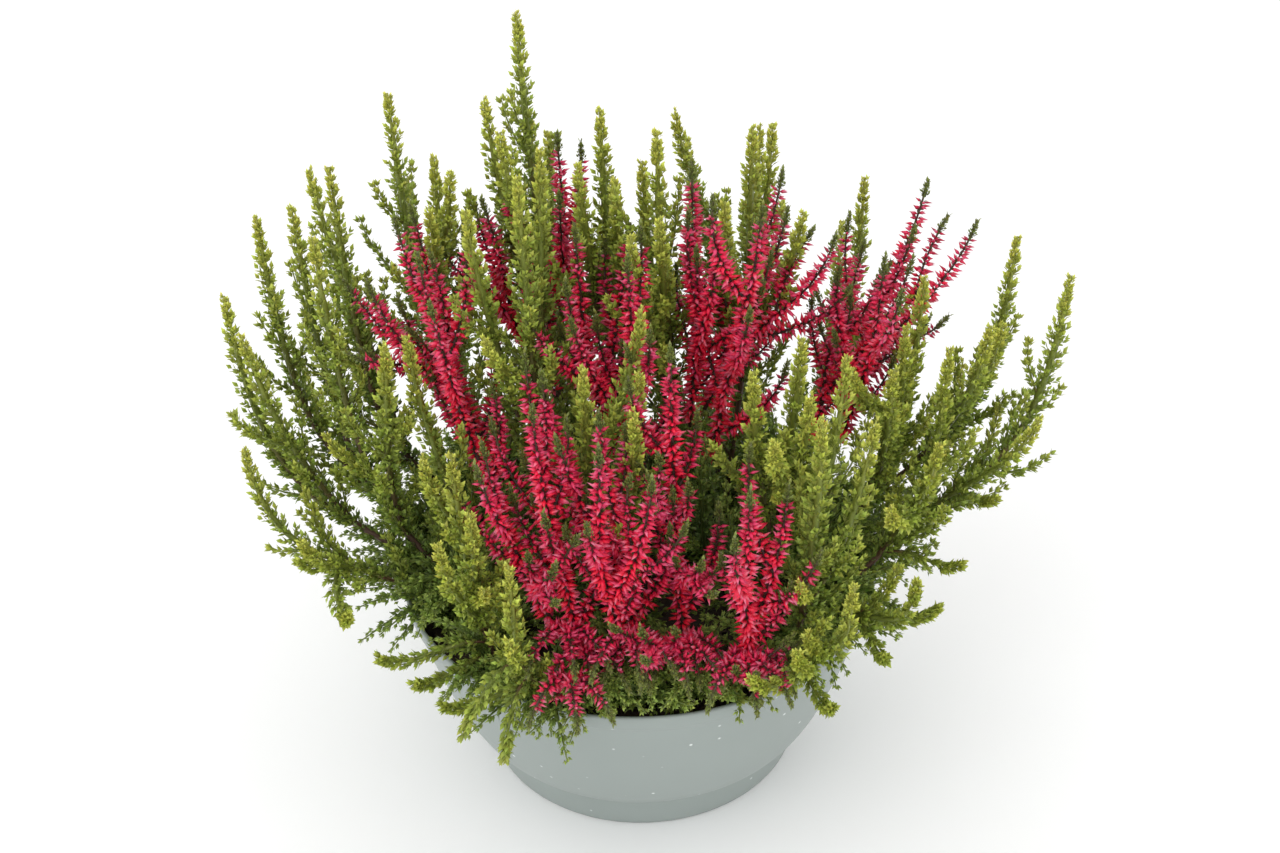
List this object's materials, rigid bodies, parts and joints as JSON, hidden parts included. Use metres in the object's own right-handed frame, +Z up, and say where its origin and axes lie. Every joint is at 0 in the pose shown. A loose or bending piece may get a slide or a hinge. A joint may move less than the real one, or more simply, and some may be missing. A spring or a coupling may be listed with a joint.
{
  "type": "potted heather",
  "caption": "Bushy heather in a round plastic bowl: lime-green leafy plumes and crimson bud spikes fan up and out over the rim.",
  "frame": {"origin": "middle of the bowl's underside, on the plane it stands on", "axes": "+Z up, front of the planting at -Y, +X to the right seen from the front"},
  "size_m": [0.3895, 0.3064, 0.3579],
  "materials": {
    "bowl_plastic": "smooth satin, blue-grey, with a few pale specks",
    "potting_soil": "rough dark brown peat",
    "lime_foliage": "matt scale leaves, lime at the tips and dark green lower down, on brown wood",
    "dark_foliage": "matt dark green scale leaves on brown wood",
    "crimson_buds": "matt crimson buds on dark stems, with olive leafy tips"
  },
  "bodies": {
    "root": {"bowl": "bowl_plastic", "potting_soil": "potting_soil", "green_spray_01": "lime_foliage", "green_spray_02": "lime_foliage", "green_spray_03": "lime_foliage", "green_spray_04": "lime_foliage", "green_spray_05": "lime_foliage", "green_spray_06": "lime_foliage", "green_spray_07": "lime_foliage", "green_spray_08": "lime_foliage", "green_spray_09": "lime_foliage", "green_spray_10": "lime_foliage", "green_spray_11": "lime_foliage", "green_spray_12": "lime_foliage", "green_spray_13": "lime_foliage", "green_spray_14": "lime_foliage", "green_spray_15": "lime_foliage", "green_spray_16": "lime_foliage", "green_spray_17": "lime_foliage", "green_spray_18": "lime_foliage", "green_spray_19": "lime_foliage", "green_spray_20": "lime_foliage", "green_spray_21": "lime_foliage", "green_spray_22": "lime_foliage", "green_spray_23": "lime_foliage", "green_spray_24": "lime_foliage", "green_spray_25": "lime_foliage", "green_spray_26": "lime_foliage", "green_spray_27": "lime_foliage", "crimson_stem_01": "dark_foliage", "crimson_stem_02": "dark_foliage", "crimson_stem_03": "dark_foliage", "crimson_stem_04": "dark_foliage", "crimson_stem_05": "dark_foliage", "crimson_stem_06": "dark_foliage", "crimson_stem_07": "dark_foliage", "crimson_stem_08": "dark_foliage", "crimson_stem_09": "dark_foliage", "crimson_spike_01": "crimson_buds", "crimson_spike_02": "crimson_buds", "crimson_spike_03": "crimson_buds", "crimson_spike_04": "crimson_buds", "crimson_spike_05": "crimson_buds", "crimson_spike_06": "crimson_buds", "crimson_spike_07": "crimson_buds", "crimson_spike_08": "crimson_buds", "crimson_spike_09": "crimson_buds", "crimson_spike_10": "crimson_buds", "crimson_spike_11": "crimson_buds", "crimson_spike_12": "crimson_buds", "crimson_spike_13": "crimson_buds", "crimson_spike_14": "crimson_buds", "crimson_spike_15": "crimson_buds", "crimson_spike_16": "crimson_buds", "crimson_spike_17": "crimson_buds", "crimson_spike_18": "crimson_buds", "crimson_spike_19": "crimson_buds", "crimson_spike_20": "crimson_buds", "crimson_spike_21": "crimson_buds"}
  },
  "joints": []
}
